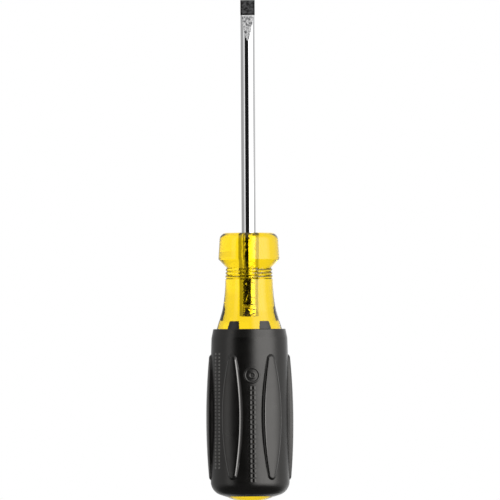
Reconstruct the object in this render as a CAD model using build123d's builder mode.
from build123d import *
from math import cos, pi, radians, sin, tan
import os

# A slotted (cabinet tip) screwdriver with a cushion grip, in three pieces. The steel blade
# carries the ground tip, and four flats and two pressed wings hold it inside the handle. The
# translucent core is the handle's structure, and the rubber grip is moulded round its flutes.
# Millimetres. The origin is on the shoulder, where the blade leaves the handle, and +Z runs
# along the blade to the tip. The tip's two ground faces look along -Y and +Y.

# ---- driving dimensions ----

# blade
SHANK_RADIUS = 2.38  # 3/16 inch bar
TIP_Z = 77.2
TIP_THICKNESS = 0.8
GRIND_LENGTH = 13.6  # each ground face runs back this far from the tip
GRIND_START_SLOPE = 4.0  # degrees from the axis, where a ground face starts
BURIED_LENGTH = 28.6  # the blade's length inside the core
BURIED_RADIUS = 2.2  # drawn down a little below the exposed bar
FLAT_DEPTH = 0.3  # of the four flats that square the buried length
FLAT_TURN = 28.0  # degrees about the axis, from +X
SEAT_FLAT_TURN = 72.0  # where the core grips the bar, the flats are turned further
SEAT_TOP_Z = -15.4
SEAT_BOTTOM_Z = -24.3
WING_HALF_SPAN = 3.0  # from the axis to the end of a wing
WING_THICKNESS = 1.9
WING_LENGTH = 4.2
WING_BEVEL = 1.0
WING_TURN = 75.0  # degrees about the axis, from +X

# handle core, from the collar down: grooved neck, cone, fluted bar, domed end
COLLAR_TOP_RADIUS = 7.3
COLLAR_SHOULDER_RADIUS = 9.74
COLLAR_SHOULDER_Z = -2.3
COLLAR_RADIUS = 10.16
COLLAR_BOTTOM_Z = -8.9
COLLAR_ROUND = 0.8  # on the collar's lower corner
BORE_RADIUS = 2.45  # clearance round the blade, down to the seat
NECK_TOP_RADIUS = 7.66
NECK_TOP_Z = -11.4
NECK_BOTTOM_RADIUS = 7.9
NECK_BOTTOM_Z = -15.4
CONE_TOP_RADIUS = 9.03
CONE_TOP_Z = -26.1
BAR_RADIUS = 10.8  # where the rubber covers the core
BAR_BOTTOM_Z = -83.3
SPIGOT_RADIUS = 8.1  # the end that shows through the rubber
SPIGOT_TOP_Z = -86.0
DOME_TOP_Z = -87.65
CORE_BOTTOM_Z = -89.5

GROOVE_COUNT = 4
GROOVE_FIRST_Z = -11.75
GROOVE_PITCH = 1.14
GROOVE_HALF_WIDTH = 0.3
GROOVE_DEPTH = 0.42

FLUTE_COUNT = 6
FLUTE_RADIUS = 2.4
FLUTE_AXIS_RADIUS = 11.6  # the flute's centre line, from the handle's axis
FLUTE_TOP_Z = -29.4
FLUTE_BOTTOM_Z = -82.0

# cushion grip: a near-straight body with six raised pads
RIM_Z = -32.0
RIM_RADIUS = 12.05
RIM_ROUND = 0.3
BODY_TOP_RADIUS = 12.6
BODY_TOP_Z = -35.0
BODY_WAIST_RADIUS = 12.85
BODY_WAIST_Z = -42.0
BODY_BOTTOM_RADIUS = 13.1
BODY_BOTTOM_Z = -82.6
HEEL_RADIUS = 9.66  # inner end of the round at the bottom
HEEL_Z = -87.15

PAD_COUNT = 6
PAD_TURN = 3.5  # degrees, from the flutes' directions
PAD_MIDDLE_Z = -61.35
PAD_HALF_WIDTH = 3.45
PAD_END_HALF_WIDTH = 1.2  # where a pad's sides meet its round ends
PAD_HALF_LENGTH = 19.25
PAD_DRAFT = 16.0  # degrees
PAD_ROOT_RADIUS = 12.0  # a pad grows from a plane at this distance, inside the body

# the crowned envelope that the pads' faces lie on
CROWN_TOP_RADIUS = 13.25
CROWN_TOP_Z = -39.0
CROWN_RADIUS = 14.5
CROWN_MIDDLE_Z = -60.8
CROWN_BOTTOM_RADIUS = 13.45
CROWN_BOTTOM_Z = -84.0

# ---- worked out from them ----

GRIND_TOP_Z = TIP_Z - GRIND_LENGTH
GRIND_DEPTH = SHANK_RADIUS - TIP_THICKNESS / 2
# A ground face is a shallow arc. Half way along, its depth is half the start slope's share
# and a quarter of the rest.
START_SLOPE_DEPTH = GRIND_LENGTH * tan(radians(GRIND_START_SLOPE))
GRIND_MIDDLE_DEPTH = START_SLOPE_DEPTH / 2 + (GRIND_DEPTH - START_SLOPE_DEPTH) / 4
WING_BOTTOM_Z = -BURIED_LENGTH
WING_TOP_Z = WING_BOTTOM_Z + WING_LENGTH
# the buried bar's bottom, top and turn, one stretch above another
BURIED_STRETCHES = (
    (WING_BOTTOM_Z, SEAT_BOTTOM_Z, FLAT_TURN),
    (SEAT_BOTTOM_Z, SEAT_TOP_Z, SEAT_FLAT_TURN),
    (SEAT_TOP_Z, 0, FLAT_TURN),
)
PAD_ROOT_GROWTH = (CROWN_RADIUS - PAD_ROOT_RADIUS) * tan(radians(PAD_DRAFT))
FLUTE_LENGTH = FLUTE_TOP_Z - FLUTE_BOTTOM_Z
MARGIN = 1.0  # how far a cutter runs past what it cuts
TINY = 0.001  # for comparing radii


def squared_bar(turn):
    """Draws the buried bar's section, a circle cut by four flats."""
    flats = 2 * (BURIED_RADIUS - FLAT_DEPTH)
    Circle(BURIED_RADIUS)
    Rectangle(flats, flats, rotation=turn, mode=Mode.INTERSECT)


def pad_outline(growth):
    """Draws a pad's outline, two side arcs and two round ends, grown by its draft."""
    side = PAD_HALF_WIDTH + growth
    end = PAD_END_HALF_WIDTH + growth
    tip = PAD_HALF_LENGTH + end
    for way in (1, -1):
        ThreePointArc((way * end, -PAD_HALF_LENGTH), (way * side, 0), (way * end, PAD_HALF_LENGTH))
        ThreePointArc((-end, way * PAD_HALF_LENGTH), (0, way * tip), (end, way * PAD_HALF_LENGTH))


def at_collar_corner(edge):
    """Is this edge the circle round the collar's lower corner?"""
    return edge.geom_type == GeomType.CIRCLE and abs(edge.radius - COLLAR_RADIUS) < TINY


# ---- blade: round bar, two ground faces at the tip, flats and two wings on the buried end ----

wing_plane = Plane(
    origin=(0, 0, 0),
    x_dir=(cos(radians(WING_TURN)), sin(radians(WING_TURN)), 0),
    z_dir=(sin(radians(WING_TURN)), -cos(radians(WING_TURN)), 0),
)

with BuildPart() as blade:
    for bottom, top, turn in BURIED_STRETCHES:
        with BuildSketch(Plane.XY.offset(bottom)):
            squared_bar(turn)
        extrude(amount=top - bottom)
    with BuildSketch(Plane.XY):
        Circle(SHANK_RADIUS)
    extrude(amount=TIP_Z)

    with BuildSketch(Plane.YZ):
        with BuildLine():
            ground_face = ThreePointArc(
                (SHANK_RADIUS, GRIND_TOP_Z),
                (SHANK_RADIUS - GRIND_MIDDLE_DEPTH, TIP_Z - GRIND_LENGTH / 2),
                (TIP_THICKNESS / 2, TIP_Z),
            )
            Polyline(
                ground_face @ 1,
                (TIP_THICKNESS / 2, TIP_Z + MARGIN),
                (SHANK_RADIUS + MARGIN, TIP_Z + MARGIN),
                (SHANK_RADIUS + MARGIN, GRIND_TOP_Z),
                ground_face @ 0,
            )
        make_face()
        mirror(about=Plane.YZ)
    extrude(amount=SHANK_RADIUS + MARGIN, both=True, mode=Mode.SUBTRACT)

    with BuildSketch(wing_plane):
        Polygon(
            (-BURIED_RADIUS, WING_BOTTOM_Z),
            (BURIED_RADIUS, WING_BOTTOM_Z),
            (WING_HALF_SPAN, WING_BOTTOM_Z + WING_BEVEL),
            (WING_HALF_SPAN, WING_TOP_Z - WING_BEVEL),
            (BURIED_RADIUS, WING_TOP_Z),
            (-BURIED_RADIUS, WING_TOP_Z),
            (-WING_HALF_SPAN, WING_TOP_Z - WING_BEVEL),
            (-WING_HALF_SPAN, WING_BOTTOM_Z + WING_BEVEL),
            align=None,
        )
    extrude(amount=WING_THICKNESS / 2, both=True)
blade.part.label = "blade"

# ---- handle core: its outer form, then the grooves, the flutes and the blade's seat ----

with BuildPart() as core_form:
    with BuildSketch(Plane.XZ):
        with BuildLine():
            Line((0, 0), (COLLAR_TOP_RADIUS, 0))
            TangentArc(
                (COLLAR_TOP_RADIUS, 0), (COLLAR_SHOULDER_RADIUS, COLLAR_SHOULDER_Z), tangent=(1, 0)
            )
            Polyline(
                (COLLAR_SHOULDER_RADIUS, COLLAR_SHOULDER_Z),
                (COLLAR_RADIUS, COLLAR_BOTTOM_Z),
                (NECK_TOP_RADIUS, NECK_TOP_Z),
                (NECK_BOTTOM_RADIUS, NECK_BOTTOM_Z),
            )
            TangentArc(
                (NECK_BOTTOM_RADIUS, NECK_BOTTOM_Z), (CONE_TOP_RADIUS, CONE_TOP_Z), tangent=(0, -1)
            )
            Polyline(
                (CONE_TOP_RADIUS, CONE_TOP_Z), (BAR_RADIUS, RIM_Z), (BAR_RADIUS, BAR_BOTTOM_Z)
            )
            TangentArc(
                (BAR_RADIUS, BAR_BOTTOM_Z), (SPIGOT_RADIUS, SPIGOT_TOP_Z), tangent=(0, -1)
            )
            Line((SPIGOT_RADIUS, SPIGOT_TOP_Z), (SPIGOT_RADIUS, DOME_TOP_Z))
            TangentArc((0, CORE_BOTTOM_Z), (SPIGOT_RADIUS, DOME_TOP_Z), tangent=(1, 0))
            Line((0, CORE_BOTTOM_Z), (0, 0))
        make_face()
    revolve(axis=Axis.Z)
    fillet(core_form.edges().filter_by(at_collar_corner), COLLAR_ROUND)

with BuildPart() as flute_bars:
    with BuildSketch(Plane.XY.offset(FLUTE_BOTTOM_Z)):
        with PolarLocations(FLUTE_AXIS_RADIUS, FLUTE_COUNT):
            Circle(FLUTE_RADIUS)
    extrude(amount=FLUTE_LENGTH)

with BuildPart() as handle_core:
    add(core_form.part)
    with BuildSketch(Plane.XZ):
        for index in range(GROOVE_COUNT):
            groove_z = GROOVE_FIRST_Z - index * GROOVE_PITCH
            along_neck = (NECK_TOP_Z - groove_z) / (NECK_TOP_Z - NECK_BOTTOM_Z)
            surface = NECK_TOP_RADIUS + along_neck * (NECK_BOTTOM_RADIUS - NECK_TOP_RADIUS)
            widening = (MARGIN + GROOVE_DEPTH) / GROOVE_DEPTH
            Polygon(
                (surface - GROOVE_DEPTH, groove_z),
                (surface + MARGIN, groove_z + widening * GROOVE_HALF_WIDTH),
                (surface + MARGIN, groove_z - widening * GROOVE_HALF_WIDTH),
                align=None,
            )
    revolve(axis=Axis.Z, mode=Mode.SUBTRACT)
    add(flute_bars.part, mode=Mode.SUBTRACT)
    add(blade.part, mode=Mode.SUBTRACT)
    with BuildSketch(Plane.XY):
        Circle(BORE_RADIUS)
    extrude(amount=SEAT_TOP_Z, mode=Mode.SUBTRACT)
handle_core.part.label = "handle_core"

# ---- cushion grip: body, pads, and the ribs that fill the core's flutes ----

with BuildPart() as pad:
    with BuildSketch(Plane.YZ.offset(PAD_ROOT_RADIUS)):
        with Locations((0, PAD_MIDDLE_Z)):
            with BuildSketch(mode=Mode.PRIVATE) as outline:
                with BuildLine():
                    pad_outline(PAD_ROOT_GROWTH)
                make_face()
            add(outline.sketch)
    extrude(amount=CROWN_RADIUS - PAD_ROOT_RADIUS + MARGIN, taper=PAD_DRAFT)
    with BuildSketch(Plane.XZ):
        with BuildLine():
            ThreePointArc(
                (CROWN_TOP_RADIUS, CROWN_TOP_Z),
                (CROWN_RADIUS, CROWN_MIDDLE_Z),
                (CROWN_BOTTOM_RADIUS, CROWN_BOTTOM_Z),
            )
            Polyline(
                (CROWN_BOTTOM_RADIUS, CROWN_BOTTOM_Z),
                (0, CROWN_BOTTOM_Z),
                (0, CROWN_TOP_Z),
                (CROWN_TOP_RADIUS, CROWN_TOP_Z),
            )
        make_face()
    revolve(axis=Axis.Z, mode=Mode.INTERSECT)

with BuildPart() as cushion_grip:
    add(flute_bars.part)
    add(core_form.part, mode=Mode.INTERSECT)
    with BuildSketch(Plane.XZ):
        with BuildLine():
            Line((0, RIM_Z), (RIM_RADIUS - RIM_ROUND, RIM_Z))
            TangentArc(
                (RIM_RADIUS - RIM_ROUND, RIM_Z), (RIM_RADIUS, RIM_Z - RIM_ROUND), tangent=(1, 0)
            )
            Polyline(
                (RIM_RADIUS, RIM_Z - RIM_ROUND),
                (BODY_TOP_RADIUS, BODY_TOP_Z),
                (BODY_WAIST_RADIUS, BODY_WAIST_Z),
                (BODY_BOTTOM_RADIUS, BODY_BOTTOM_Z),
            )
            TangentArc(
                (BODY_BOTTOM_RADIUS, BODY_BOTTOM_Z), (HEEL_RADIUS, HEEL_Z), tangent=(0, -1)
            )
            Polyline(
                (HEEL_RADIUS, HEEL_Z), (SPIGOT_RADIUS, DOME_TOP_Z), (0, DOME_TOP_Z), (0, RIM_Z)
            )
        make_face()
    revolve(axis=Axis.Z)
    with PolarLocations(0, PAD_COUNT, start_angle=PAD_TURN):
        add(pad.part)
    add(handle_core.part, mode=Mode.SUBTRACT)
cushion_grip.part.label = "cushion_grip"

# ---- one file for each piece ----

os.makedirs("parts", exist_ok=True)
for piece in (blade, handle_core, cushion_grip):
    export_step(piece.part, f"parts/{piece.part.label}.step")
